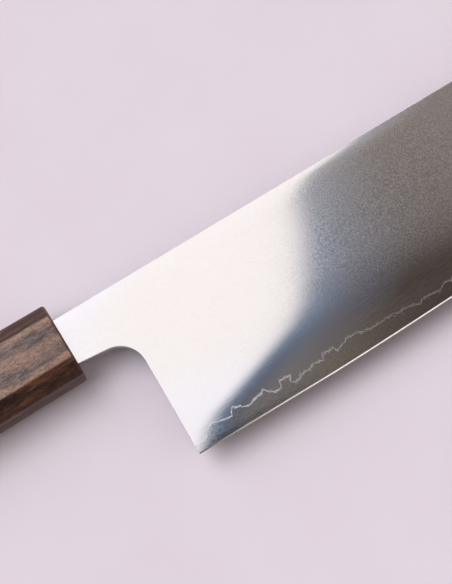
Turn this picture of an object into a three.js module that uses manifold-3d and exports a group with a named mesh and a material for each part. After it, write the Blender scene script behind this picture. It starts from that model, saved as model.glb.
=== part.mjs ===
// A nakiri: a straight-edged vegetable knife with a three-layer blade and a one-piece octagonal handle.
// Millimetres. The knife lies on its left side: X runs to the tip, Y from the edge to the spine, Z up.
// The pieces are drawn from the handle's front (x = 0), the spine (y = 0) and the blade's middle (z = 0).
import * as THREE from 'three';
import { mergeVertices } from 'three/addons/utils/BufferGeometryUtils.js';
import Module from 'manifold-3d';

const wasm = await Module();
wasm.setup();

// Blade outline
const bladeLength = 165; // heel corner to tip
const bladeHeight = 52.3; // spine to edge at the heel
const straightEdge = 40; // from the heel corner, before the edge starts to rise
const edgeRise = 5.5; // of the edge at the tip
const edgeRisePower = 1.4; // how late the rise comes
const heelLean = 0.7; // the heel corner lies this far behind the top of the heel
const choilRadius = 7.7;
const neckLength = 16; // handle front to the top of the heel
const neckHeight = 14.1; // at the handle
const neckFlare = 1.5; // the neck is this much taller at the choil
const noseLean = 3; // the nose leans back this far at the spine
const noseRadius = 12; // between nose and spine

// Blade section
const spineThickness = 2.2; // from the tang to the heel
const tipThickness = 1.6; // of the spine at the tip
const flatHeight = 27; // flat part of the flank below the spine
const flatTaper = 0.32; // the half thickness lost over the flat part
const bevelHeight = 0.45; // sharpened bevel at the edge
const bevelThickness = 0.24; // of the blade just above the bevel

// Blade layers
const coreSpineThickness = 0.8;
const coreEdgeThickness = 0.24;
const layerClearance = 0.02; // between the core and each cladding plate
// The cladding's lower border: distance from the heel corner, and height above the edge
const claddingBorder = [
  [-9, 2.6], [4.4, 2.9], [5.7, 4.4], [7.4, 5.2], [9.1, 4.8], [12, 4], [13.1, 4.1], [14, 5.9], [16.1, 5.3],
  [18, 4.2], [20, 4.5], [23.9, 5.8], [25.9, 3.9], [27.7, 3.8], [28.9, 5.6], [31, 5.4], [31.9, 3.6],
  [33.9, 3.3], [37.4, 4.2], [39, 5], [41.1, 4.4], [45.1, 6], [45.9, 4.9], [49.4, 5.4], [52.9, 6], [55.2, 4.8],
  [59.5, 4.5], [63.9, 4.6], [66.9, 4.5], [69.6, 3.5], [71.7, 3], [72.4, 3.8], [77.2, 3.2], [79.7, 4.2],
  [83, 3.5], [88, 4.6], [91, 3.7], [96, 4.2], [101, 5.2], [104, 4], [110, 4.2], [115, 5.3], [118, 4.1],
  [124, 4], [129, 5.1], [133, 4], [139, 4.2], [145, 5.2], [149, 3.9], [155, 4.1], [160, 4.6], [175, 4.8],
];

// Tang
const tangLength = 95; // behind the handle's front face
const tangHeight = 9; // at the shoulders
const tangEndHeight = 6;
const tangEndRadius = 2.4;
const shoulderDepth = 5; // the full neck goes this far into the handle

// Handle
const handleLength = 135;
const handleFrontHeight = 22;
const handleButtHeight = 25;
const handleThickness = 17.2;
const handleFacet = 4.6; // each leg of the four sloping facets
const handleRise = 0.25; // its axis lies this far above the middle of the neck
const handleFrontRounding = 0.9;
const handleButtRounding = 1.8;

// Mortise and what fills it
const mortiseClearance = 1; // round the tang
const mouthClearance = 0.6; // round the neck
const bondClearance = 0.1; // between the filling and what it holds
const sealDepth = 2;

// Fineness of round shapes
const bladeStations = 20; // from the heel to the tip
const convexSteps = 6; // across the convex part of the flank
const arcSteps = 8;
const roundingSteps = 3;
const overreach = 3; // cutting solids reach this far past what they cut
const weldDistance = 1e-4;

// Places that follow from the sizes
const heelCornerX = neckLength - heelLean;
const tipX = heelCornerX + bladeLength;
const neckY = -neckHeight / 2; // middle of the neck, the tang and the mortise
const axisY = neckY + handleRise; // of the handle
const bladeDepth = spineThickness + 2 * overreach; // of the prisms that cut the blade

// Materials
function finish(color, roughness, metalness) {
  return new THREE.MeshStandardMaterial({ color, roughness, metalness });
}
const coreSteel = finish(0x8f8b86, 0.28, 1);
const claddingSteel = finish(0xc4c4c6, 0.32, 1);
const darkWood = finish(0x5c453a, 0.5, 0);
const adhesive = finish(0xb9a988, 0.5, 0);
const filler = finish(0x2b211c, 0.6, 0);

// Height of the edge above its straight part, at a distance from the handle's front
function edgeLift(x) {
  const past = Math.max(0, x - heelCornerX - straightEdge) / (bladeLength - straightEdge);
  return edgeRise * past ** edgeRisePower;
}

// Half the blade's thickness on the flat part of the flank, in line with the spine
function spineHalf(x) {
  const along = Math.max(0, x - neckLength) / (tipX - neckLength);
  return THREE.MathUtils.lerp(spineThickness, tipThickness, along) / 2;
}

// One closed body through rings of points, each ring turning from Y to Z and the rings in order of X
function loft(rings) {
  const count = rings[0].length;
  const last = (rings.length - 1) * count;
  const triangles = [];
  for (let start = 0; start < last; start += count) {
    for (let i = 0; i < count; i += 1) {
      const a = start + i;
      const b = start + (i + 1) % count;
      triangles.push(a, b, b + count, a, b + count, a + count);
    }
  }
  for (let i = 1; i + 1 < count; i += 1) {
    triangles.push(0, i + 1, i, last, last + i, last + i + 1);
  }
  const positions = rings.flat().flatMap((point) => point.toArray());
  const geometry = new THREE.BufferGeometry();
  geometry.setAttribute('position', new THREE.Float32BufferAttribute(positions, 3));
  geometry.setIndex(triangles);
  return geometry;
}

// A prism across the blade, from points in the blade's plane
function plate(points, depth) {
  const geometry = new THREE.ExtrudeGeometry(new THREE.Shape(points), { depth, bevelEnabled: false });
  return geometry.translate(0, 0, -depth / 2);
}

// A box between two X places, centred on the neck
function block(fromX, toX, height, thickness) {
  const geometry = new THREE.BoxGeometry(toX - fromX, height, thickness);
  return geometry.translate((fromX + toX) / 2, neckY, 0);
}

// Points of an outline whose corners are [x, y, radius], with an arc at each corner that has a radius
function outline(corners) {
  return corners.flatMap(([x, y, radius = 0], i) => {
    const corner = new THREE.Vector2(x, y);
    if (radius === 0) return [corner];
    const before = new THREE.Vector2(...corners.at(i - 1)).sub(corner).normalize();
    const after = new THREE.Vector2(...corners[(i + 1) % corners.length]).sub(corner).normalize();
    const halfAngle = Math.acos(before.dot(after)) / 2;
    const inward = before.clone().add(after).normalize();
    const centre = corner.clone().addScaledVector(inward, radius / Math.sin(halfAngle));
    const reach = radius / Math.tan(halfAngle);
    const from = corner.clone().addScaledVector(before, reach).sub(centre);
    const to = corner.clone().addScaledVector(after, reach).sub(centre);
    const turn = Math.atan2(from.cross(to), from.dot(to));
    return Array.from({ length: arcSteps + 1 }, (_, k) => {
      return from.clone().rotateAround(new THREE.Vector2(), turn * k / arcSteps).add(centre);
    });
  });
}

function solid(geometry) {
  const bare = geometry.clone();
  bare.deleteAttribute('normal');
  bare.deleteAttribute('uv');
  const welded = mergeVertices(bare, weldDistance);
  const vertProperties = new Float32Array(welded.attributes.position.array);
  const triVerts = new Uint32Array(welded.index.array);
  return new wasm.Manifold(new wasm.Mesh({ numProp: 3, vertProperties, triVerts }));
}

function piece(name, body, material) {
  const { vertProperties, triVerts } = body.getMesh();
  const geometry = new THREE.BufferGeometry();
  geometry.setAttribute('position', new THREE.BufferAttribute(vertProperties, 3));
  geometry.setIndex(new THREE.BufferAttribute(triVerts, 1));
  geometry.computeVertexNormals();
  const mesh = new THREE.Mesh(geometry, material);
  mesh.name = name;
  return mesh;
}

// The ground section at one place: flat below the spine, then convex down to the bevel and the edge
function bladeSection(x) {
  const half = spineHalf(x);
  const height = bladeHeight - edgeLift(x);
  const flatHalf = half - flatTaper;
  const convexHeight = height - bevelHeight - flatHeight;
  const taper = flatTaper / flatHeight;
  const bend = flatHalf - taper * convexHeight - bevelThickness / 2;
  const side = [[overreach, half + taper * overreach]];
  for (let step = 0; step <= convexSteps; step += 1) {
    const down = step / convexSteps;
    const drop = taper * convexHeight * down + bend * down ** 2;
    side.push([-flatHeight - convexHeight * down, flatHalf - drop]);
  }
  const right = side.map(([y, z]) => new THREE.Vector3(x, y, z));
  const left = side.map(([y, z]) => new THREE.Vector3(x, y, -z)).reverse();
  return [...right, new THREE.Vector3(x, -height, 0), ...left];
}

// The whole blade and tang, before it is parted into its layers
function bladeBody() {
  const places = [-tangLength - overreach, neckLength];
  for (let i = 1; i <= bladeStations; i += 1) {
    places.push(THREE.MathUtils.lerp(neckLength, tipX + overreach, i / bladeStations));
  }
  const ground = solid(loft(places.map(bladeSection)));
  const below = bladeHeight + overreach;
  const heelSlope = heelLean / (bladeHeight - neckHeight - neckFlare);
  const profile = outline([
    [-tangLength, neckY + tangEndHeight / 2, tangEndRadius],
    [-tangLength, neckY - tangEndHeight / 2, tangEndRadius],
    [-shoulderDepth, neckY - tangHeight / 2],
    [-shoulderDepth, -neckHeight],
    [0, -neckHeight],
    [neckLength, -neckHeight - neckFlare, choilRadius],
    [heelCornerX - heelSlope * overreach, -below],
    [tipX, -below],
    [tipX, edgeLift(tipX) - bladeHeight],
    [tipX - noseLean, 0, noseRadius],
    [-shoulderDepth, 0],
    [-shoulderDepth, neckY + tangHeight / 2],
  ]);
  return ground.intersect(solid(plate(profile, bladeDepth)));
}

// The room that the core takes: a thin wedge between the plates, and all that lies below the wavy border
function coreRoom(extra) {
  const top = overreach;
  const bottom = -bladeHeight - overreach;
  const topHalf = coreSpineThickness / 2 + extra;
  const bottomHalf = coreEdgeThickness / 2 + extra;
  const wedge = [[top, -topHalf], [top, topHalf], [bottom, bottomHalf], [bottom, -bottomHalf]];
  const ring = (x) => wedge.map(([y, z]) => new THREE.Vector3(x, y, z));
  const middle = solid(loft([ring(-tangLength - overreach), ring(tipX + overreach)]));
  const border = claddingBorder.map(([along, up]) => {
    const x = heelCornerX + along;
    return new THREE.Vector2(x, edgeLift(x) - bladeHeight + up + extra);
  });
  const corners = [border.at(-1), border[0]].map((end) => new THREE.Vector2(end.x, bottom));
  return middle.add(solid(plate([...border, ...corners], bladeDepth)));
}

function octagon(x, height, thickness, facet) {
  const y = height / 2;
  const z = thickness / 2;
  const corners = [
    [y, z - facet], [y - facet, z], [facet - y, z], [-y, z - facet],
    [-y, facet - z], [facet - y, -z], [y - facet, -z], [y, facet - z],
  ];
  return corners.map(([cornerY, cornerZ]) => new THREE.Vector3(x, axisY + cornerY, cornerZ));
}

// The handle's outside, with its two ends rounded over
function handleBlank() {
  const rounded = (x, height, inset) => {
    const facet = handleFacet - (2 - Math.SQRT2) * inset;
    return octagon(x, height - 2 * inset, handleThickness - 2 * inset, facet);
  };
  const end = (fromX, inward, height, radius) => {
    return Array.from({ length: roundingSteps + 1 }, (_, step) => {
      const angle = step / roundingSteps * Math.PI / 2;
      return rounded(fromX + inward * radius * (1 - Math.cos(angle)), height, radius * (1 - Math.sin(angle)));
    });
  };
  const butt = end(-handleLength, 1, handleButtHeight, handleButtRounding);
  const front = end(0, -1, handleFrontHeight, handleFrontRounding).reverse();
  return solid(loft([...butt, ...front]));
}

// Pockets in the handle, and the filling between them and the steel
const mouthFloorX = -shoulderDepth - bondClearance;
const mortiseFloorX = -tangLength - mortiseClearance;
const mouthHeight = neckHeight + 2 * mouthClearance;
const mouthThickness = spineThickness + 2 * mouthClearance;
const mortiseHeight = tangHeight + 2 * mortiseClearance;
const mortiseThickness = spineThickness + 2 * mortiseClearance;
const bond = 2 * bondClearance;
const heldThickness = spineThickness + bond;

const mouth = solid(block(mouthFloorX, overreach, mouthHeight, mouthThickness));
const mortise = solid(block(mortiseFloorX, overreach, mortiseHeight, mortiseThickness));
const handle = handleBlank().subtract(mouth).subtract(mortise);

const heldTang = solid(plate(outline([
  [-tangLength - bondClearance, neckY + tangEndHeight / 2 + bondClearance, tangEndRadius],
  [-tangLength - bondClearance, neckY - tangEndHeight / 2 - bondClearance, tangEndRadius],
  [-shoulderDepth, neckY - tangHeight / 2 - bondClearance],
  [overreach, neckY - tangHeight / 2 - bondClearance],
  [overreach, neckY + tangHeight / 2 + bondClearance],
  [-shoulderDepth, neckY + tangHeight / 2 + bondClearance],
]), heldThickness));
const bedFloorX = mortiseFloorX + bondClearance;
const filled = block(bedFloorX, mouthFloorX, mortiseHeight - bond, mortiseThickness - bond);
const bed = solid(filled).subtract(heldTang);

const heldNeck = solid(block(-sealDepth - overreach, overreach, neckHeight + bond, heldThickness));
const seal = solid(block(-sealDepth, 0, mouthHeight - bond, mouthThickness - bond)).subtract(heldNeck);

// Blade layers
const blade = bladeBody();
const plates = blade.subtract(coreRoom(layerClearance));
const sideReach = 2 * (bladeLength + handleLength);
const side = (z) => {
  const geometry = new THREE.BoxGeometry(sideReach, sideReach, 2 * bladeDepth);
  return solid(geometry.translate(0, 0, z * bladeDepth));
};

const knife = new THREE.Group();
knife.add(
  piece('blade_core', blade.intersect(coreRoom(0)), coreSteel),
  piece('cladding_right', plates.intersect(side(1)), claddingSteel),
  piece('cladding_left', plates.intersect(side(-1)), claddingSteel),
  piece('handle_body', handle, darkWood),
  piece('tang_adhesive', bed, adhesive),
  piece('mouth_seal', seal, filler),
);

// The origin lies under the middle of the knife, on the table that its lower side facet rests on
const highestY = axisY + handleButtHeight / 2;
knife.position.set((handleLength - tipX) / 2, (bladeHeight - highestY) / 2, handleThickness / 2);

export default knife;
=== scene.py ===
# A nakiri knife on a pale table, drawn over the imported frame.
# Sizes are in millimetres. Places count from the handle's front face (x = 0), the spine (y = 0)
# and the blade's middle (z = 0).
import math

import bmesh
import bpy
from mathutils import Matrix, Vector, noise


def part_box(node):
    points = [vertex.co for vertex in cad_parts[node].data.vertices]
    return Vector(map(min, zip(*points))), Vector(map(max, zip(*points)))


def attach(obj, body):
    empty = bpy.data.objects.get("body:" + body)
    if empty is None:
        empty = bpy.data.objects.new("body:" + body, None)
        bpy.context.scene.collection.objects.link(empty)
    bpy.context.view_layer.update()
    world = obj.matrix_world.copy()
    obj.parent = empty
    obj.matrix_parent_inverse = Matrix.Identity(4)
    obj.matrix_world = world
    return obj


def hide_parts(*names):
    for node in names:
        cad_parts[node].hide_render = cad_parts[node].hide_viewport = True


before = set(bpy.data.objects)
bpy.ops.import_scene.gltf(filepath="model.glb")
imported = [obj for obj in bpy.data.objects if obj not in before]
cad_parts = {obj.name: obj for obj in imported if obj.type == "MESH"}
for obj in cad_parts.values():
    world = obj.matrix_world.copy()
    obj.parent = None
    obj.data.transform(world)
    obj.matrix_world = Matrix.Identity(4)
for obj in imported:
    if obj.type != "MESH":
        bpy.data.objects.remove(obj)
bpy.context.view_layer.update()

MM = 0.001

# Blade outline
BLADE_LENGTH = 165
BLADE_HEIGHT = 52.3
STRAIGHT_EDGE = 40
EDGE_RISE = 5.5
EDGE_RISE_POWER = 1.4
HEEL_LEAN = 0.7
CHOIL_RADIUS = 7.7
NECK_LENGTH = 16
NECK_HEIGHT = 14.1
NECK_FLARE = 1.5
NOSE_LEAN = 3
NOSE_RADIUS = 12

# Blade section
SPINE_THICKNESS = 2.2
TIP_THICKNESS = 1.6
FLAT_HEIGHT = 27
FLAT_TAPER = 0.32
BEVEL_HEIGHT = 0.34
BEVEL_THICKNESS = 0.18
CORE_SPINE_THICKNESS = 0.8
CORE_EDGE_THICKNESS = 0.24
CORE_REACH = 3  # the core's two thicknesses are those this far above the spine and below the edge
CORE_LAP = 0.25  # between the core's two bodies, at the border
LAYER_CLEARANCE = 0.02
EDGE_ROUNDING = 0.06  # on the spine, heel and nose
NECK_ROUNDING = 0.25  # under the neck and in the choil
SPINE_EASE_WIDTH = 5  # the flank falls away a little towards the spine
SPINE_EASE_DEPTH = 0.045

# The cladding's lower border near the heel: distance from the heel corner, and height above the edge
CLADDING_BORDER = (
    (-9, 2.3), (1, 2.3), (2.4, 2.5), (3.8, 3), (4.9, 4.1), (5.4, 4.8), (6.5, 5.4), (7.2, 5.4),
    (8.2, 5.1), (10.8, 4.5), (11.8, 4.4), (12.6, 4.5), (12.9, 5.4), (13.5, 6.1), (14.1, 6.5), (14.2, 5.8),
    (14.9, 5.7), (15.8, 5.5), (16.2, 4.9), (16.7, 5.1), (17.2, 4.5), (18.8, 4.6), (20.5, 5.2), (22.5, 5.5),
    (23, 6), (23.4, 6.1), (24.1, 5), (25.5, 4), (27.2, 3.9), (27.7, 4.3), (28, 5.1), (28.1, 5.7),
    (28.6, 5.9), (29.4, 5.9), (29.7, 6.1), (31, 5.5), (31.5, 5.6), (31.1, 5.1), (30.6, 4.6), (30.6, 4),
    (31.2, 3.5), (32, 3.5), (33.7, 3.9), (35.1, 4.4), (36.8, 4.3), (37.4, 4.8), (38.6, 5.2), (39.6, 4.7),
    (40.3, 4.8), (41.1, 4.5), (41.4, 5.5), (42.1, 5.8), (44.9, 5.9), (45.1, 6.3), (45.2, 5.1), (45.7, 4.9),
    (48.7, 5.6), (49.2, 6.3), (52.8, 6.1), (53.3, 5.5), (54.2, 5.2), (55.3, 5.2), (56.4, 4.8), (58.6, 4.9),
    (59.5, 4.7), (60.2, 5), (61.3, 5.1), (62.3, 4.8), (63.2, 4.9), (65.2, 4.3), (66.3, 4.6), (67.4, 4.5),
    (69.7, 3.8), (71.2, 3.3), (71.9, 4.1), (72.9, 3.8), (73.6, 4.2), (74.6, 3.9), (77, 3.5), (77.9, 3.6),
    (78.6, 4.1), (79.8, 4.5), (80.8, 4.4), (81.4, 3.8),
)
BORDER_TURN = CLADDING_BORDER[-1][0]  # past here the border runs on as a mirror image
BORDER_BLUR = (-0.9, -0.45, 0, 0.45, 0.9)  # the plates follow the border's mean over these distances

# The bright bead on the border
LINE_STEP = 0.16
LINE_WIDTH = (0.3, 0.17)  # at the heel and further on
LINE_FADE = (16, 60)  # along x, from the first width to the second
LINE_FRAYING = (22, 40)  # along x, from smooth to ragged
LINE_CALM = 0.3  # share of the raggedness that is there from the heel on
LINE_TURNS = (3.7, 1.3)  # small turns for each millimetre, fine and coarse
LINE_SWELL = 0.9  # share by which the width varies
LINE_SWELL_TURNS = 1.7  # swellings for each millimetre
LINE_SWELL_SEED = 3  # past the strand's own
LINE_STRANDS = ((0.9, 0.35, 0.3), (0.5, 0.6, 7.3), (0.4, 0.9, 13.3))  # share of the width, raggedness, seed
LINE_HEIGHT = 0.012
LINE_DEPTH = 0.04
LINE_SHOULDER = 0.004
LINE_PROFILE = (  # shares of half the width, and heights above the flank
    (-1, -LINE_DEPTH), (-0.9, LINE_SHOULDER), (0, LINE_HEIGHT), (0.9, LINE_SHOULDER), (1, -LINE_DEPTH),
)

# Tang
TANG_LENGTH = 95
TANG_HEIGHT = 9
TANG_END_HEIGHT = 6
TANG_END_RADIUS = 2.4
SHOULDER_DEPTH = 5

# Handle
HANDLE_LENGTH = 135
HANDLE_FRONT_HEIGHT = 22
HANDLE_BUTT_HEIGHT = 25
HANDLE_THICKNESS = 17.2
HANDLE_FACET = 4.6
HANDLE_RISE = 0.25
HANDLE_FRONT_ROUNDING = 0.9
HANDLE_BUTT_ROUNDING = 1.8
RIDGE_ROUNDING = 0.5
MORTISE_CLEARANCE = 1
MOUTH_CLEARANCE = 0.6
BOND_CLEARANCE = 0.1

# Fineness of the meshes
ARC_STEPS = 14
RIDGE_STEPS = 3
ROUNDING_STEPS = 6
NECK_STEPS = 12
HEEL_STEPS = 32
BORDER_STEP = 0.4
FAN_X = 40  # on the spine, the columns from the heel end here
NOSE_FAN_X = 150  # and those to the nose begin here
FLANK_ROWS = 40
EDGE_ROWS = (0, 0.33, 0.67, 1, 1.33)  # distances from the outline, as shares of its rounding
EXPOSED_ROWS = 6
HANDLE_STATIONS = 12
MERGE_DISTANCE = 1e-7  # in metres
PLATE_SHARP = 40  # degrees between faces, above which their shading parts
LINE_SHARP = 60
CORE_SHARP = 9
HANDLE_SHARP = 30

# Places that follow from the sizes
HEEL_CORNER_X = NECK_LENGTH - HEEL_LEAN
TIP_X = HEEL_CORNER_X + BLADE_LENGTH
NECK_Y = -NECK_HEIGHT / 2
AXIS_Y = NECK_Y + HANDLE_RISE

# Places in the materials, in the frame's metres
POLISH_REACH = (-0.0085, -0.0195)  # along Y, from satin to polished
SPECKLE_REACH = (0.04, 0.054)  # along X, from even to speckled satin
SPECKLE_END = (0.0185, 0.0215)  # along Y, and even again towards the spine
WELD_DULLING = (-0.006, 0.055)  # along X, from bright to dull
WOOD_SHEEN_REACH = (0.0082, 0.0086)  # up and down from the handle's middle, from painted shade on the other facets to painted sheen on the two broad flats
WOOD_GLINT_DEPTH = 0.0011  # behind the handle's front

# Noise in the materials, as waves for each metre along X, Y and Z
SATIN_GRAIN = (3400, 3800, 3800)
HAZE_GRAIN = (2000, 2300, 2300)
POLISH_STROKES = (300, 3200, 3200)
CORE_STROKES = (1000, 3400, 3400)
WELD_PATCHES = (900, 900, 900)
WOOD_STREAKS = (170, 850, 850)
WOOD_CURLS = (1100, 3000, 3000)
ADHESIVE_CLOUD = (300, 300, 300)
FILLER_GRIT = (1500, 1500, 1500)
TABLE_CLOUD = (25, 25, 25)
NOISE_REACH = (0.3, 0.7)  # nearly all of a noise's values lie between these
HAZE_SEED = 5
WOOD_SEED = 6.6

# Steel
STEEL_EVEN = ((169, 167, 167), (171, 169, 169))  # colours as a screen shows them
STEEL_SPECKLED = ((154, 152, 152), (186, 184, 184))
STEEL_STREAKED = ((158, 156, 156), (182, 180, 180))
SATIN_ROUGHNESS = (0.035, 0.06)
SATIN_REACH = (0.38, 0.62)  # of the grain's values
POLISH_ROUGHNESS = (0.018, 0.034)
HAZE_WEIGHT = 0.6
HAZE_REACH = (0.42, 0.62)  # of the haze's values
HAZE_ROUGHNESS = 0.35
HAZE_IOR = 2.0
STEEL_BUMP = 1.0e-6  # in metres
SATIN_BUMP = 0.4  # share of the steel's bump
POLISH_BUMP = 0.55
CORE_TONES = ((157, 155, 154), (176, 174, 173))
CORE_ROUGHNESS = (0.02, 0.035)
CORE_BUMP = 1.5e-7
WELD_TONES = ((198, 198, 198), (122, 117, 112))  # bright and dull
WELD_PATCH_TONE = (96, 92, 88)
WELD_PATCH_REACH = (0.4, 0.7)  # of the patches' values
WELD_PATCH_SHARE = 0.5
WELD_ROUGHNESS = (0.45, 0.6)
WELD_BUMP = 1.0e-5

# Wood
WOOD_TURN = math.pi / 4  # of the growth bands about the handle's axis
WOOD_STRETCH = 0.2  # of the bands' waviness along the handle
WOOD_BANDS = 90
WOOD_WAVER = 7
WOOD_PHASE = 4.0
WOOD_BAND_SHARE = 0.5
WOOD_STREAK_SHARE = (-0.2, 0.7)
# The wood's tones twice: lightened by painted sheen for the two broad flats, and darkened by painted shade
# for the chamfers and narrow flats
WOOD_SHEEN_TONES = ((0, (93, 85, 86)), (0.5, (144, 121, 111)), (1, (187, 151, 129)))
WOOD_SHADED_TONES = ((0, (52, 37, 31)), (0.4, (75, 52, 41)), (1, (124, 82, 57)))
WOOD_LIGHT = ((0.38, (150, 147, 147)), (0.6, (255, 253, 250)))  # between the curls and on them
WOOD_LIGHT_SHARE = 0.85
# a painted highlight, orange-brown, on the handle's rounded front edge
WOOD_GLINT_TONE = (134, 89, 66)
WOOD_GLINT_BAND = ((0.4, 0), (0.7, 0.55), (0.92, 0.55), (1, 0))  # places in its depth, and how strong the painted highlight is at each
WOOD_ROUGHNESS = (0.3, 0.45)
WOOD_IOR = 1.3
WOOD_BUMP = 6.0e-6

# Adhesive, filler and table
ADHESIVE_TONES = ((176, 160, 128), (196, 182, 150))
ADHESIVE_ROUGHNESS = (0.4, 0.55)
ADHESIVE_BUMP = 5.0e-5
FILLER_TONES = ((34, 26, 22), (56, 43, 36))
FILLER_ROUGHNESS = (0.5, 0.7)
FILLER_BUMP = 3.0e-5
TABLE_TONES = ((225, 215, 222), (229, 220, 227))
TABLE_ROUGHNESS = 0.85
TABLE_SPECULAR = 0.2

# Camera, in the frame's metres
CAMERA_TARGET = Vector((0.02114, 0.00530, 0.0094))
CAMERA_BACK = Vector((-0.0468, -0.2617, 0.9640))
CAMERA_RIGHT = Vector((0.8569, -0.5064, -0.0959))
CAMERA_ROLL = math.radians(-0.1)
CAMERA_DISTANCE = 0.9
CAMERA_LENS = 206.8  # millimetres, as is the sensor's width
CAMERA_SENSOR = 36

# Studio: "across" is along CAMERA_RIGHT, "upward" along the camera's up, both as parts of a direction
FLOOR_SIZE = 40  # in metres
LAMP_WHITE = (1, 0.93, 0.9)
SOFTBOX_LIGHT = (2.27, 6.0)  # at its near and far end
SOFTBOX_RISE = (-0.23, -0.65)  # across, from the near end's light to the far end's
SOFTBOX_EDGE = (-0.149, -0.141)  # across, from full light to none
SOFTBOX_FAR_EDGE = (-1, -0.5)  # across, from none to full light
SOFTBOX_FOOT = (-0.25, 0)  # upward, from none to full light
SOFTBOX_TOP = (0.6, 0.78)  # upward, from full light to none
SOFTBOX_BENDS = (  # two heights upward, and how far its edge draws back at each
    (0.37, 0.387, -0.003, 0), (0.397, 0.44, 0.0106, 0), (0.436, 0.45, 0, -0.0004),
    (0.454, 0.464, 0, 0.0035), (0.465, 0.477, 0, -0.0031), (0.465, 0.512, 0, 0.0085),
    (0.49, 0.523, 0, 0.0056), (0.51, 0.524, 0, -0.012),
)
SOFTBOX_LIFT = (0.445, 0.505, 1, 1.05)  # two heights upward, and the share of light at each
SOFTBOX_LAVENDER = (1, 0.985, 1.04, 1)
SOFTBOX_WARM = (1, 0.955, 0.937, 1)
SOFTBOX_WARM_UP = (0.41, 0.447)  # upward, from lavender to warm
SOFTBOX_WARM_ACROSS = (-0.227, -0.204)  # and across
FILL_LIGHT = 1.2
FILL_DIRECTION = Vector((0.58, -0.45, 0.68))
FILL_EDGE = (0.82, 0.985)  # from none to full light, towards the lamp's middle
LAMP_LIGHT = 2.4
LAMP_DIRECTION = Vector((0.13, -0.286, 0.95))
LAMP_EDGE = (0.992, 0.9985)
WALL_LIGHT = 0.55
WALL_DIRECTION = Vector((0.683, -0.683, 0.26))
WALL_EDGE = (0.87, 0.97)
HORIZON_TONE = (226, 216, 224)
HORIZON_TOP = (0.05, 0.18)  # the pale horizon gives way to the ceiling between these heights

# The strip of ceiling beside the softbox, in shares of its reach
CEILING_REACH = (-0.25, -0.05)  # across
CEILING_DARK = (0.05, 0.045, 0.04, 1)
CEILING_BLUE = (0.28, 0.4, 0.6, 1)
CEILING_SLATE = (0.27, 0.29, 0.37, 1)
CEILING_GREY = (0.39, 0.37, 0.38, 1)
CEILING_PALE = (0.7, 0.69, 0.73, 1)
CEILING_TAN = (0.48, 0.41, 0.37, 1)
CEILING_BROWN = (0.35, 0.29, 0.25, 1)
CEILING_UMBER = (0.16, 0.125, 0.11, 1)
CEILING_HIGH = (
    (0.3, CEILING_DARK), (0.45, CEILING_BLUE), (0.56, CEILING_PALE), (0.66, CEILING_TAN),
    (0.85, CEILING_TAN), (1, CEILING_DARK),
)
CEILING_MIDDLE = (
    (0.3, CEILING_DARK), (0.45, CEILING_BLUE), (0.56, CEILING_BLUE), (0.6, CEILING_SLATE),
    (0.72, CEILING_UMBER), (0.85, CEILING_UMBER), (1, CEILING_DARK),
)
CEILING_LOW = (
    (0.3, CEILING_DARK), (0.45, CEILING_BLUE), (0.54, CEILING_BLUE), (0.565, CEILING_SLATE),
    (0.6, CEILING_GREY), (0.7, CEILING_BROWN), (0.82, CEILING_UMBER), (1, CEILING_DARK),
)
CEILING_LOW_TOP = (0.41, 0.445)  # upward, from the low colours to the middle ones
CEILING_HIGH_FOOT = (0.455, 0.508)  # upward, from there to the high ones
CEILING_FOOT_SLOPE = 0.84  # the dark foot slants down away from the softbox
CEILING_FOOT = (0.4943, 0.4972)  # upward less that slant, from full shade to none
CEILING_FOOT_SHADE = (0.56, 0.7, 0.6, 0.05)  # two places in the strip, and the foot's shade at each

# Places of the Mix node's colour sockets
MIX_FACTOR = 0
MIX_FIRST = 6
MIX_SECOND = 7
MIX_RESULT = 2


def srgb(red, green, blue):
    """A colour as a screen shows it, 0 to 255, as linear light."""
    def linear(level):
        share = level / 255
        if share <= 0.04045:
            return share / 12.92
        return ((share + 0.055) / 1.055) ** 2.4
    return (linear(red), linear(green), linear(blue), 1)


def lerp(start, end, share):
    return start + (end - start) * share


def smooth(share):
    share = min(1, max(0, share))
    return share * share * (3 - 2 * share)


def steps_between(start, end, count):
    return [lerp(start, end, step / (count - 1)) for step in range(count)]


# Places in the frame
handle_low, handle_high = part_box("handle_body")
core_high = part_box("blade_core")[1]
KNIFE_ORIGIN = Vector((handle_high.x, core_high.y, (handle_low.z + handle_high.z) / 2))


def to_frame(point):
    return KNIFE_ORIGIN + Vector(point) * MM


# Meshes
def arc_at(before, corner, after, radius, steps):
    """Points of the arc that rounds a corner, from the side of one neighbour to the side of the other."""
    corner = Vector(corner)
    back = (Vector(before) - corner).normalized()
    ahead = (Vector(after) - corner).normalized()
    half = back.angle(ahead) / 2
    centre = corner + (back + ahead).normalized() * radius / math.sin(half)
    reach = radius / math.tan(half)
    start = corner + back * reach - centre
    end = corner + ahead * reach - centre
    turn = math.atan2(start.cross(end), start.dot(end))
    return [centre + Matrix.Rotation(turn * step / steps, 2) @ start for step in range(steps + 1)]


def evenly(points, count):
    """A line of points taken again as that many points with even steps."""
    lengths = [0]
    for start, end in zip(points, points[1:]):
        lengths.append(lengths[-1] + (end - start).length)
    made = []
    part = 0
    for index in range(count):
        reach = lengths[-1] * index / (count - 1)
        while part < len(points) - 2 and lengths[part + 1] < reach:
            part += 1
        span = lengths[part + 1] - lengths[part]
        made.append(points[part].lerp(points[part + 1], (reach - lengths[part]) / span))
    return made


def loft(rings):
    """The corners and faces of a closed body through rings that have the same number of points."""
    count = len(rings[0])
    corners = [to_frame(point) for ring in rings for point in ring]
    faces = []
    for start in range(0, len(corners) - count, count):
        for i in range(count):
            after = (i + 1) % count
            faces.append((start + i, start + after, start + count + after, start + count + i))
    faces.append(tuple(reversed(range(count))))
    faces.append(tuple(range(len(corners) - count, len(corners))))
    return corners, faces


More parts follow.
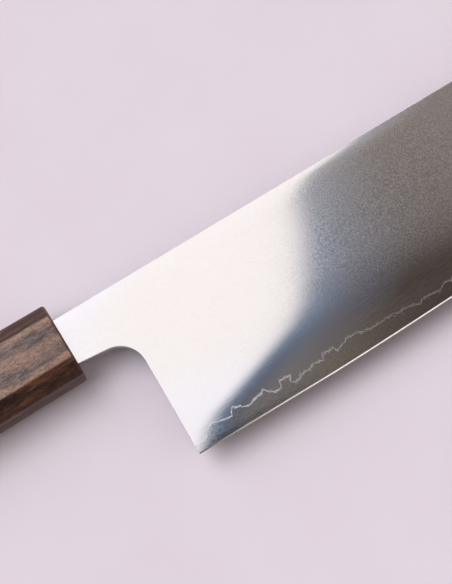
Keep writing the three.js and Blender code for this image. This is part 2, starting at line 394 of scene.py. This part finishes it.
def new_piece(name, bodies, material, sharp_angle):
    """An object from one or more closed bodies, with smooth faces that part at sharp angles."""
    corners = []
    faces = []
    for body_corners, body_faces in bodies:
        shift = len(corners)
        corners += body_corners
        faces += [tuple(shift + i for i in face) for face in body_faces]
    mesh = bpy.data.meshes.new(name)
    mesh.from_pydata(corners, [], faces)
    shape = bmesh.new()
    shape.from_mesh(mesh)
    bmesh.ops.remove_doubles(shape, verts=shape.verts, dist=MERGE_DISTANCE)
    bmesh.ops.recalc_face_normals(shape, faces=shape.faces)
    shape.to_mesh(mesh)
    shape.free()
    mesh.polygons.foreach_set("use_smooth", [True] * len(mesh.polygons))
    mesh.set_sharp_from_angle(angle=math.radians(sharp_angle))
    mesh.materials.append(material)
    piece = bpy.data.objects.new(name, mesh)
    bpy.context.scene.collection.objects.link(piece)
    return piece


def dress(piece, node):
    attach(piece, "root")
    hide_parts(node)


# Blade surface
def edge_lift(x):
    past = max(0, x - HEEL_CORNER_X - STRAIGHT_EDGE) / (BLADE_LENGTH - STRAIGHT_EDGE)
    return EDGE_RISE * past ** EDGE_RISE_POWER


def edge_y(x):
    return edge_lift(x) - BLADE_HEIGHT


def flank(x, y):
    """Half the blade's thickness: flat below the spine, then convex down to the bevel."""
    along = max(0, x - NECK_LENGTH) / (TIP_X - NECK_LENGTH)
    half = lerp(SPINE_THICKNESS, TIP_THICKNESS, along) / 2
    taper = FLAT_TAPER / FLAT_HEIGHT
    convex_height = -edge_y(x) - BEVEL_HEIGHT - FLAT_HEIGHT
    bend = half - FLAT_TAPER - taper * convex_height - BEVEL_THICKNESS / 2
    down = max(0, -y - FLAT_HEIGHT) / convex_height
    ease = max(0, 1 + y / SPINE_EASE_WIDTH)
    return half + taper * y - bend * down ** 2 - SPINE_EASE_DEPTH * ease ** 2


def core_half(y):
    share = (y + BLADE_HEIGHT + CORE_REACH) / (BLADE_HEIGHT + 2 * CORE_REACH)
    return lerp(CORE_EDGE_THICKNESS, CORE_SPINE_THICKNESS, share) / 2


# Blade outline
def neck_y(x):
    return -NECK_HEIGHT - NECK_FLARE * max(0, x) / NECK_LENGTH


def tang_half(x):
    share = (x + TANG_LENGTH) / (TANG_LENGTH - SHOULDER_DEPTH)
    half = lerp(TANG_END_HEIGHT, TANG_HEIGHT, share) / 2
    return half - rounded_off(x + TANG_LENGTH, TANG_END_RADIUS)


def border_places():
    """The border's corner points, from behind the heel to past the nose."""
    first = CLADDING_BORDER
    turned = [(2 * BORDER_TURN - along, height) for along, height in reversed(first)]
    return [*first, *turned[1:]]


def border_height(along):
    places = border_places()
    for (start, low), (end, high) in zip(places, places[1:]):
        if along <= end:
            break
    return lerp(low, high, (along - start) / (end - start))


def border_point(x):
    """The plates' border at a distance from the handle's front, without the line's small turns."""
    heights = [border_height(x - HEEL_CORNER_X + shift) for shift in BORDER_BLUR]
    return Vector((x, edge_y(x) + sum(heights) / len(heights)))


def border_line():
    """The border's points from the heel to the nose."""
    start = border_point(HEEL_CORNER_X)
    start.x += HEEL_LEAN * (start.y - edge_y(HEEL_CORNER_X)) / (BLADE_HEIGHT - NECK_HEIGHT - NECK_FLARE)
    end = border_point(TIP_X)
    end.x -= NOSE_LEAN * (end.y - edge_y(TIP_X)) / -edge_y(TIP_X)
    count = round((end.x - start.x) / BORDER_STEP)
    between = [border_point(lerp(start.x, end.x, step / count)) for step in range(1, count)]
    return [start, *between, end]


def line_path(border, raggedness, seed):
    """The middle of one of the bead's strands, with every turn of the border."""
    corners = []
    for along, height in border_places():
        x = HEEL_CORNER_X + along
        if border[0].x + LINE_STEP < x < border[-1].x - LINE_STEP:
            corners.append(Vector((x, edge_y(x) + height)))
    corners = [border[0], *corners, border[-1]]
    length = sum((end - start).length for start, end in zip(corners, corners[1:]))
    path = evenly(corners, round(length / LINE_STEP))
    for point in path[1:-1]:
        turns = [noise.noise(Vector((point.x * pace, point.y * pace, seed))) for pace in LINE_TURNS]
        growth = smooth((point.x - LINE_FRAYING[0]) / (LINE_FRAYING[1] - LINE_FRAYING[0]))
        point.y += raggedness * lerp(LINE_CALM, 1, growth) * sum(turns)
    return path


def border_strand(border, side, share, raggedness, seed):
    """One strand of the bright weld line that stands a little proud of the flank."""
    path = line_path(border, raggedness, seed)
    rings = []
    for i, point in enumerate(path):
        fade = smooth((point.x - LINE_FADE[0]) / (LINE_FADE[1] - LINE_FADE[0]))
        varied = Vector((point.x * LINE_SWELL_TURNS, point.y, seed + LINE_SWELL_SEED))
        swell = 1 + LINE_SWELL * noise.noise(varied)
        across = inward(path, i, 1) * lerp(*LINE_WIDTH, fade) * share * swell / 2
        ring = []
        for place, proud in LINE_PROFILE:
            spot = point + across * place
            ring.append((*spot, side * (flank(*spot) + proud)))
        rings.append(ring)
    return loft(rings)


def tang_columns():
    places = []
    for step in range(ROUNDING_STEPS):
        angle = math.pi / 2 * step / (ROUNDING_STEPS - 1)
        places.append(TANG_END_RADIUS * (1 - math.cos(angle)) - TANG_LENGTH)
    places.append(-SHOULDER_DEPTH)
    low = [Vector((x, NECK_Y - tang_half(x))) for x in places]
    high = [Vector((x, NECK_Y + tang_half(x))) for x in places]
    return low, high


def blade_columns():
    """The lower and upper ends of the columns that the layers are drawn through, from tang to nose."""
    low, high = tang_columns()
    heel_corner = Vector((HEEL_CORNER_X, -BLADE_HEIGHT))
    choil_corner = (NECK_LENGTH, -NECK_HEIGHT - NECK_FLARE)
    choil = arc_at((0, -NECK_HEIGHT), choil_corner, heel_corner, CHOIL_RADIUS, ARC_STEPS)
    neck = [Vector((x, neck_y(x))) for x in steps_between(-SHOULDER_DEPTH, choil[0].x, NECK_STEPS)]
    low += neck
    high += [Vector((point.x, 0)) for point in neck]
    border = border_line()
    heel = evenly([choil[-1], border[0]], HEEL_STEPS)
    behind = choil[1:] + heel[1:-1]
    low += behind
    high += evenly([Vector((choil[0].x, 0)), Vector((FAN_X, 0))], len(behind) + 1)[1:]
    upright = [point for point in border if point.x <= NOSE_FAN_X]
    ahead = border[len(upright):]
    low += border
    high += evenly([Vector((FAN_X, 0)), Vector((NOSE_FAN_X, 0))], len(upright) + 1)[1:]
    toe = (TIP_X, edge_y(TIP_X))
    nose = arc_at((0, 0), (TIP_X - NOSE_LEAN, 0), toe, NOSE_RADIUS, ARC_STEPS)
    high += evenly([Vector((NOSE_FAN_X, 0)), *nose], len(ahead) + 1)[1:]
    return low, high, border


def inward(path, index, turn):
    """The direction into the steel at one point of the outline's lower or upper path."""
    along = path[min(index + 1, len(path) - 1)] - path[max(index - 1, 0)]
    return Vector((-along.y, along.x)).normalized() * turn


def column_shares(low_end, high_end):
    """Where a column's rows lie, as shares of its length like the rounding at each end."""
    low = [row * low_end for row in EDGE_ROWS]
    high = [1 - row * high_end for row in reversed(EDGE_ROWS)]
    return low[:-1] + steps_between(low[-1], high[0], FLANK_ROWS) + high[1:]


def rounding_below(point):
    """The rounding of the lower outline: broad under the neck and in the choil, fine elsewhere."""
    if point.y > -NECK_HEIGHT:
        return EDGE_ROUNDING
    return lerp(NECK_ROUNDING, EDGE_ROUNDING, smooth((-NECK_HEIGHT - point.y) / CHOIL_RADIUS))


def rounded_off(distance, radius):
    """How far a rounded edge lies below the flank, at a distance from the outline."""
    short = radius - min(radius, max(0, distance))
    return radius - math.sqrt(radius ** 2 - short ** 2)


def plate_ring(low, high, into_low, into_high, on_border, side):
    """One section of a cladding plate."""
    ring = []
    low_depth = (high - low).dot(into_low)
    high_depth = (high - low).dot(-into_high)
    low_rounding = rounding_below(low)
    for share in column_shares(low_rounding / low_depth, EDGE_ROUNDING / high_depth):
        point = low.lerp(high, share)
        half = flank(point.x, point.y)
        inner = core_half(point.y) + LAYER_CLEARANCE
        most = (half - inner) / 2
        drop = rounded_off(high_depth * (1 - share), min(EDGE_ROUNDING, most))
        if not on_border:
            drop = max(drop, rounded_off(low_depth * share, min(low_rounding, most)))
        ring.append((point.x, point.y, side * (half - drop)))
    for point in (high, low):
        ring.append((point.x, point.y, side * (core_half(point.y) + LAYER_CLEARANCE)))
    return ring


def cladding_plate(columns, side):
    low, high, border = columns
    first = len(low) - len(border)
    rings = []
    for i, (bottom, top) in enumerate(zip(low, high)):
        rings.append(plate_ring(bottom, top, inward(low, i, 1), inward(high, i, -1), i >= first, side))
    return loft(rings)


def core_sheet(columns):
    """The middle layer between the two plates."""
    low, high, border = columns
    first = len(low) - len(border)
    rings = []
    for i, (bottom, top) in enumerate(zip(low, high)):
        foot = bottom - Vector((0, CORE_LAP)) if i >= first else bottom
        thin = core_half(foot.y)
        thick = core_half(top.y)
        rings.append([(*foot, thin), (*top, thick), (*top, -thick), (*foot, -thin)])
    return loft(rings)


def exposed_core(border):
    """The core below the cladding's border, down to the sharpened edge."""
    rings = []
    for point in border:
        share = (point.x - border[0].x) / (border[-1].x - border[0].x)
        x = lerp(HEEL_CORNER_X, TIP_X, share)
        edge = Vector((x, edge_y(x)))
        bevel = edge.lerp(point, BEVEL_HEIGHT / (point - edge).length)
        rows = [point.lerp(bevel, row / EXPOSED_ROWS) for row in range(EXPOSED_ROWS + 1)]
        side = [(row, flank(row.x, row.y)) for row in rows]
        right = [(*row, half) for row, half in side]
        left = [(*row, -half) for row, half in reversed(side)]
        rings.append([*right, (*edge, 0), *left])
    return loft(rings)


# Handle
def octagon(height, inset):
    """The handle's section at a distance inside its full size, with its ridges rounded."""
    y = height / 2 - inset
    z = HANDLE_THICKNESS / 2 - inset
    facet = HANDLE_FACET - (2 - math.sqrt(2)) * inset
    corners = [
        (y, z - facet), (y - facet, z), (facet - y, z), (-y, z - facet),
        (-y, facet - z), (facet - y, -z), (y - facet, -z), (y, facet - z),
    ]
    points = []
    for i, corner in enumerate(corners):
        before = corners[i - 1]
        after = corners[(i + 1) % len(corners)]
        points += arc_at(before, corner, after, RIDGE_ROUNDING, RIDGE_STEPS)
    return points


def handle_ring(x, height, inset):
    return [(x, AXIS_Y + point.x, point.y) for point in octagon(height, inset)]


def rounded_end(x, inward_step, height, radius):
    rings = []
    for step in range(ROUNDING_STEPS + 1):
        angle = math.pi / 2 * step / ROUNDING_STEPS
        place = x + inward_step * radius * (1 - math.cos(angle))
        rings.append(handle_ring(place, height, radius * (1 - math.sin(angle))))
    return rings


def pocket_ring(x, height, thickness):
    """The front's outline drawn in to a rectangle."""
    def held(value, most):
        return max(-most, min(most, value))
    return [
        (x, NECK_Y + held(point.x + HANDLE_RISE, height / 2), held(point.y, thickness / 2))
        for point in octagon(HANDLE_FRONT_HEIGHT, HANDLE_FRONT_ROUNDING)
    ]


def handle_body():
    butt = rounded_end(-HANDLE_LENGTH, 1, HANDLE_BUTT_HEIGHT, HANDLE_BUTT_ROUNDING)
    front = rounded_end(0, -1, HANDLE_FRONT_HEIGHT, HANDLE_FRONT_ROUNDING)
    middle = []
    for share in steps_between(0, 1, HANDLE_STATIONS)[1:-1]:
        x = lerp(HANDLE_BUTT_ROUNDING - HANDLE_LENGTH, -HANDLE_FRONT_ROUNDING, share)
        middle.append(handle_ring(x, lerp(HANDLE_BUTT_HEIGHT, HANDLE_FRONT_HEIGHT, share), 0))
    mouth = (NECK_HEIGHT + 2 * MOUTH_CLEARANCE, SPINE_THICKNESS + 2 * MOUTH_CLEARANCE)
    mortise = (TANG_HEIGHT + 2 * MORTISE_CLEARANCE, SPINE_THICKNESS + 2 * MORTISE_CLEARANCE)
    mouth_floor = -SHOULDER_DEPTH - BOND_CLEARANCE
    pocket = [
        pocket_ring(0, *mouth), pocket_ring(mouth_floor, *mouth),
        pocket_ring(mouth_floor, *mortise), pocket_ring(-TANG_LENGTH - MORTISE_CLEARANCE, *mortise),
    ]
    return loft([*butt, *middle, *reversed(front), *pocket])


# Nodes
def feed(tree, socket, value):
    """Links a socket to another one, or gives it a value."""
    if isinstance(value, bpy.types.NodeSocket):
        tree.links.new(value, socket)
    else:
        socket.default_value = value


def add(tree, kind, inputs=(), **settings):
    """A new node with its settings, its input values and its links."""
    made = tree.nodes.new(kind)
    for name, value in settings.items():
        setattr(made, name, value)
    for key, value in dict(inputs).items():
        feed(tree, made.inputs[key], value)
    return made


def object_place(tree):
    """The place on the object, in the frame's metres."""
    return add(tree, "ShaderNodeTexCoord").outputs["Object"]


def coordinates(tree):
    return add(tree, "ShaderNodeSeparateXYZ", {0: object_place(tree)}).outputs


def noise_in(tree, scale, detail=2, roughness=0.5, distortion=0, seed=0):
    stretched = {"Vector": object_place(tree), "Scale": scale}
    inputs = {"W": seed, "Scale": 1, "Detail": detail, "Roughness": roughness, "Distortion": distortion}
    inputs["Vector"] = add(tree, "ShaderNodeMapping", stretched).outputs["Vector"]
    return add(tree, "ShaderNodeTexNoise", inputs, noise_dimensions="4D").outputs["Fac"]


def spread(tree, value, start, end, low=0, high=1, ease="LINEAR"):
    """A value taken from one range to another, and held inside it."""
    inputs = {"Value": value, "From Min": start, "From Max": end, "To Min": low, "To Max": high}
    return add(tree, "ShaderNodeMapRange", inputs, interpolation_type=ease).outputs["Result"]


def eased(tree, value, start, end, low=0, high=1):
    return spread(tree, value, start, end, low, high, "SMOOTHSTEP")


def spread_noise(tree, value, low, high):
    return spread(tree, value, *NOISE_REACH, low, high)


def ramp(tree, value, stops):
    made = add(tree, "ShaderNodeValToRGB", {"Fac": value})
    elements = made.color_ramp.elements
    while len(elements) < len(stops):
        elements.new(1)
    for element, (position, colour) in zip(elements, stops):
        element.position = position
        element.color = colour
    return made.outputs["Color"]


def toned(tree, value, stops):
    """A ramp through colours as a screen shows them."""
    return ramp(tree, value, [(position, srgb(*tone)) for position, tone in stops])


def toned_noise(tree, value, tones):
    return toned(tree, value, list(zip(NOISE_REACH, tones)))


def mixed(tree, factor, first, second, blend="MIX"):
    """Two colours mixed by a factor."""
    inputs = {MIX_FACTOR: factor, MIX_FIRST: first, MIX_SECOND: second}
    return add(tree, "ShaderNodeMix", inputs, data_type="RGBA", blend_type=blend).outputs[MIX_RESULT]


def calculated(tree, operation, first, second=0):
    return add(tree, "ShaderNodeMath", {0: first, 1: second}, operation=operation).outputs[0]


def bump(tree, height, distance):
    return add(tree, "ShaderNodeBump", {"Height": height, "Distance": distance}).outputs["Normal"]


def new_material(name):
    material = bpy.data.materials.new(name)
    material.use_nodes = True
    shader = material.node_tree.nodes["Principled BSDF"]
    return material, material.node_tree, shader


def join(tree, shader, **sockets):
    """Feeds the shader's sockets, whose names are written with underscores for spaces."""
    for name, value in sockets.items():
        feed(tree, shader.inputs[name.replace("_", " ")], value)


# Materials
def cladding_steel():
    """Soft steel, satin on the flat and polished towards the edge."""
    material, tree, shader = new_material("cladding_steel")
    places = coordinates(tree)
    polish = eased(tree, places["Y"], *POLISH_REACH)
    unpolished = spread(tree, polish, 0, 1, 1, 0)
    along = eased(tree, places["X"], *SPECKLE_REACH)
    speckled = calculated(tree, "MULTIPLY", along, spread(tree, places["Y"], *SPECKLE_END, 1, 0))
    grain = noise_in(tree, SATIN_GRAIN, detail=1)
    haze = noise_in(tree, HAZE_GRAIN, roughness=0.7, seed=HAZE_SEED)
    strokes = noise_in(tree, POLISH_STROKES, roughness=0.6)
    satin = spread(tree, grain, *SATIN_REACH, *SATIN_ROUGHNESS)
    polished = spread_noise(tree, strokes, *POLISH_ROUGHNESS)
    grain_height = calculated(tree, "MULTIPLY", grain, SATIN_BUMP)
    stroke_height = calculated(tree, "MULTIPLY", strokes, POLISH_BUMP)
    even = toned_noise(tree, strokes, STEEL_EVEN)
    speckle = toned_noise(tree, grain, STEEL_SPECKLED)
    streaks = toned_noise(tree, strokes, STEEL_STREAKED)
    hazed = spread(tree, haze, *HAZE_REACH, 0, HAZE_WEIGHT)
    join(
        tree, shader,
        Base_Color=mixed(tree, speckled, even, mixed(tree, polish, speckle, streaks)),
        Metallic=1.0,
        Roughness=spread(tree, polish, 0, 1, satin, polished),
        Coat_Weight=calculated(tree, "MULTIPLY", unpolished, hazed),
        Coat_Roughness=HAZE_ROUGHNESS,
        Coat_IOR=HAZE_IOR,
        Normal=bump(tree, spread(tree, polish, 0, 1, grain_height, stroke_height), STEEL_BUMP),
    )
    return material


def core_steel():
    """Hard core steel, polished, with fine strokes along the edge."""
    material, tree, shader = new_material("core_steel")
    strokes = noise_in(tree, CORE_STROKES, detail=1)
    join(
        tree, shader,
        Base_Color=toned_noise(tree, strokes, CORE_TONES),
        Metallic=1.0,
        Roughness=spread_noise(tree, strokes, *CORE_ROUGHNESS),
        Normal=bump(tree, strokes, CORE_BUMP),
    )
    return material


def weld_line():
    """The bright, slightly rough line between the two steels, duller away from the heel."""
    material, tree, shader = new_material("weld_line")
    along = spread(tree, coordinates(tree)["X"], *WELD_DULLING)
    tone = toned(tree, along, list(enumerate(WELD_TONES)))
    patches = noise_in(tree, WELD_PATCHES, roughness=0.6)
    patched = spread(tree, patches, *WELD_PATCH_REACH, 0, WELD_PATCH_SHARE)
    join(
        tree, shader,
        Base_Color=mixed(tree, patched, tone, srgb(*WELD_PATCH_TONE)),
        Metallic=1.0,
        Roughness=spread_noise(tree, patches, *WELD_ROUGHNESS),
        Normal=bump(tree, patches, WELD_BUMP),
    )
    return material


def wood_bands(tree):
    """Growth bands that lie aslant in the handle and waver along it."""
    turned = {"Vector": object_place(tree), "Rotation": (WOOD_TURN, 0, 0), "Scale": (WOOD_STRETCH, 1, 1)}
    grown = {
        "Vector": add(tree, "ShaderNodeMapping", turned).outputs["Vector"],
        "Scale": WOOD_BANDS,
        "Distortion": WOOD_WAVER,
        "Detail": 5,
        "Detail Scale": 1.1,
        "Detail Roughness": 0.65,
        "Phase Offset": WOOD_PHASE,
    }
    return add(tree, "ShaderNodeTexWave", grown, bands_direction="Y").outputs["Fac"]


def wood_front_glint(tree, along):
    """How much painted highlight lies on the wood's rounded edge, just behind the handle's front."""
    near_front = spread(tree, along, KNIFE_ORIGIN.x - WOOD_GLINT_DEPTH, KNIFE_ORIGIN.x)
    return ramp(tree, near_front, [(position, (glint_share, glint_share, glint_share, 1)) for position, glint_share in WOOD_GLINT_BAND])


def handle_wood():
    """Dark, oiled hardwood in tan and grey-brown bands with curls, with painted sheen that makes its two
    broad flats paler and painted shade on its other facets.
    """
    material, tree, shader = new_material("handle_wood")
    places = coordinates(tree)
    streaks = noise_in(tree, WOOD_STREAKS, detail=4, roughness=0.62, distortion=0.8, seed=WOOD_SEED)
    curls = noise_in(tree, WOOD_CURLS, detail=3, roughness=0.6, distortion=1.6, seed=WOOD_SEED)
    banded = calculated(tree, "MULTIPLY", wood_bands(tree), WOOD_BAND_SHARE)
    tone = calculated(tree, "ADD", banded, spread_noise(tree, streaks, *WOOD_STREAK_SHARE))
    height = calculated(tree, "SUBTRACT", places["Z"], KNIFE_ORIGIN.z)
    # painted sheen on the broad flats, painted shade on the chamfers and narrow flats
    sheen_on_flats = eased(tree, calculated(tree, "ABSOLUTE", height), *WOOD_SHEEN_REACH)
    colour = mixed(tree, sheen_on_flats, toned(tree, tone, WOOD_SHADED_TONES), toned(tree, tone, WOOD_SHEEN_TONES))
    # painted highlight along the handle's rounded front edge
    colour = mixed(tree, wood_front_glint(tree, places["X"]), colour, srgb(*WOOD_GLINT_TONE))
    light = toned(tree, curls, WOOD_LIGHT)
    join(
        tree, shader,
        Base_Color=mixed(tree, WOOD_LIGHT_SHARE, colour, light, "MULTIPLY"),
        Roughness=spread_noise(tree, curls, *WOOD_ROUGHNESS),
        IOR=WOOD_IOR,
        Normal=bump(tree, curls, WOOD_BUMP),
    )
    return material


def adhesive():
    material, tree, shader = new_material("adhesive")
    cloud = noise_in(tree, ADHESIVE_CLOUD, detail=3, roughness=0.6)
    join(
        tree, shader,
        Base_Color=toned_noise(tree, cloud, ADHESIVE_TONES),
        Roughness=spread_noise(tree, cloud, *ADHESIVE_ROUGHNESS),
        Normal=bump(tree, cloud, ADHESIVE_BUMP),
    )
    return material


def filler():
    material, tree, shader = new_material("filler")
    grit = noise_in(tree, FILLER_GRIT, detail=3, roughness=0.6)
    join(
        tree, shader,
        Base_Color=toned_noise(tree, grit, FILLER_TONES),
        Roughness=spread_noise(tree, grit, *FILLER_ROUGHNESS),
        Normal=bump(tree, grit, FILLER_BUMP),
    )
    return material


def table_top():
    material, tree, shader = new_material("table_top")
    cloud = noise_in(tree, TABLE_CLOUD, detail=3, roughness=0.6)
    join(
        tree, shader,
        Base_Color=toned_noise(tree, cloud, TABLE_TONES),
        Roughness=TABLE_ROUGHNESS,
        Specular_IOR_Level=TABLE_SPECULAR,
    )
    return material


# Stage
def add_floor():
    half = FLOOR_SIZE / 2
    corners = [(-half, -half, 0), (half, -half, 0), (half, half, 0), (-half, half, 0)]
    mesh = bpy.data.meshes.new("table")
    mesh.from_pydata(corners, [], [tuple(range(len(corners)))])
    mesh.materials.append(table_top())
    floor = bpy.data.objects.new("table", mesh)
    bpy.context.scene.collection.objects.link(floor)


def add_camera():
    data = bpy.data.cameras.new("camera")
    data.sensor_width = CAMERA_SENSOR
    data.lens = CAMERA_LENS
    camera = bpy.data.objects.new("camera", data)
    back = CAMERA_BACK.normalized()
    up = back.cross(CAMERA_RIGHT).normalized()
    turned = Matrix((up.cross(back), up, back)).transposed().to_4x4()
    rolled = turned @ Matrix.Rotation(CAMERA_ROLL, 4, "Z")
    camera.matrix_world = Matrix.Translation(CAMERA_TARGET + back * CAMERA_DISTANCE) @ rolled
    bpy.context.scene.collection.objects.link(camera)
    bpy.context.scene.camera = camera


def towards(tree, direction, axis):
    inputs = {0: direction, 1: axis.normalized()}
    return add(tree, "ShaderNodeVectorMath", inputs, operation="DOT_PRODUCT").outputs["Value"]


def lamp_over(tree, colour, direction, middle, edge, light):
    """A round lamp, a little warm, over what lies behind it."""
    shown = eased(tree, towards(tree, direction, middle), *edge)
    return mixed(tree, shown, colour, (*(light * part for part in LAMP_WHITE), 1))


def ceiling(tree, past_edge, upward):
    """The dark ceiling, with a strip beside the softbox that is blue, then tan, umber or brown by height."""
    beside = spread(tree, past_edge, *CEILING_REACH)
    high = ramp(tree, beside, CEILING_HIGH)
    middle = ramp(tree, beside, CEILING_MIDDLE)
    low = ramp(tree, beside, CEILING_LOW)
    lower = mixed(tree, spread(tree, upward, *CEILING_LOW_TOP), low, middle)
    slanted = calculated(tree, "MULTIPLY", past_edge, CEILING_FOOT_SLOPE)
    foot = spread(tree, calculated(tree, "SUBTRACT", upward, slanted), *CEILING_FOOT, 1, 0)
    shade = calculated(tree, "MULTIPLY", foot, spread(tree, beside, *CEILING_FOOT_SHADE))
    lower = mixed(tree, shade, lower, CEILING_DARK)
    return mixed(tree, spread(tree, upward, *CEILING_HIGH_FOOT), lower, high)


def softbox_shown(tree, past_edge, across, upward):
    """How much of the softbox shows in a direction."""
    shown = eased(tree, past_edge, *SOFTBOX_EDGE, 1, 0)
    other_sides = (
        eased(tree, across, *SOFTBOX_FAR_EDGE),
        eased(tree, upward, *SOFTBOX_FOOT),
        eased(tree, upward, *SOFTBOX_TOP, 1, 0),
    )
    for side in other_sides:
        shown = calculated(tree, "MULTIPLY", shown, side)
    return shown


def softbox_light(tree, across, upward):
    """The softbox's light: brighter and lavender towards its far end, lavender low down, warm elsewhere."""
    level = spread(tree, across, *SOFTBOX_RISE, *SOFTBOX_LIGHT)
    level = calculated(tree, "MULTIPLY", level, spread(tree, upward, *SOFTBOX_LIFT))
    warm_up = spread(tree, upward, *SOFTBOX_WARM_UP)
    warm_across = spread(tree, across, *SOFTBOX_WARM_ACROSS)
    warm = calculated(tree, "MULTIPLY", warm_up, warm_across)
    tint = mixed(tree, warm, SOFTBOX_LAVENDER, SOFTBOX_WARM)
    return add(tree, "ShaderNodeVectorMath", {0: tint, "Scale": level}, operation="SCALE").outputs["Vector"]


def add_studio():
    """A softbox from overhead to one side, a fill, a small lamp by the camera, a pale wall and a ceiling."""
    world = bpy.data.worlds.new("studio")
    world.use_nodes = True
    bpy.context.scene.world = world
    tree = world.node_tree
    direction = add(tree, "ShaderNodeTexCoord").outputs["Generated"]
    height = add(tree, "ShaderNodeSeparateXYZ", {0: direction}).outputs["Z"]
    across = towards(tree, direction, CAMERA_RIGHT)
    upward = towards(tree, direction, CAMERA_BACK.cross(CAMERA_RIGHT))
    past_edge = across
    for bend in SOFTBOX_BENDS:
        past_edge = calculated(tree, "ADD", past_edge, spread(tree, upward, *bend))
    shown = softbox_shown(tree, past_edge, across, upward)
    colour = ceiling(tree, past_edge, upward)
    colour = lamp_over(tree, colour, direction, FILL_DIRECTION, FILL_EDGE, FILL_LIGHT)
    colour = lamp_over(tree, colour, direction, WALL_DIRECTION, WALL_EDGE, WALL_LIGHT)
    colour = mixed(tree, shown, colour, softbox_light(tree, across, upward))
    colour = lamp_over(tree, colour, direction, LAMP_DIRECTION, LAMP_EDGE, LAMP_LIGHT)
    colour = mixed(tree, eased(tree, height, *HORIZON_TOP, 1, 0), colour, srgb(*HORIZON_TONE))
    tree.links.new(colour, tree.nodes["Background"].inputs["Color"])


# Knife
def build_knife():
    columns = blade_columns()
    border = columns[2]
    cladding = cladding_steel()
    line = weld_line()
    for name, side in (("right", 1), ("left", -1)):
        plate = new_piece("cladding_plate_" + name, [cladding_plate(columns, side)], cladding, PLATE_SHARP)
        strands = [border_strand(border, side, *strand) for strand in LINE_STRANDS]
        bead = new_piece("weld_line_" + name, strands, line, LINE_SHARP)
        dress(plate, "cladding_" + name)
        dress(bead, "cladding_" + name)
    core_bodies = [core_sheet(columns), exposed_core(border)]
    core = new_piece("core_layer", core_bodies, core_steel(), CORE_SHARP)
    handle = new_piece("handle_octagon", [handle_body()], handle_wood(), HANDLE_SHARP)
    dress(core, "blade_core")
    dress(handle, "handle_body")
    for node, material in (("tang_adhesive", adhesive()), ("mouth_seal", filler())):
        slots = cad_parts[node].data.materials
        slots.clear()
        slots.append(material)


add_camera()
add_floor()
add_studio()
build_knife()
bpy.context.scene.view_settings.view_transform = "Standard"
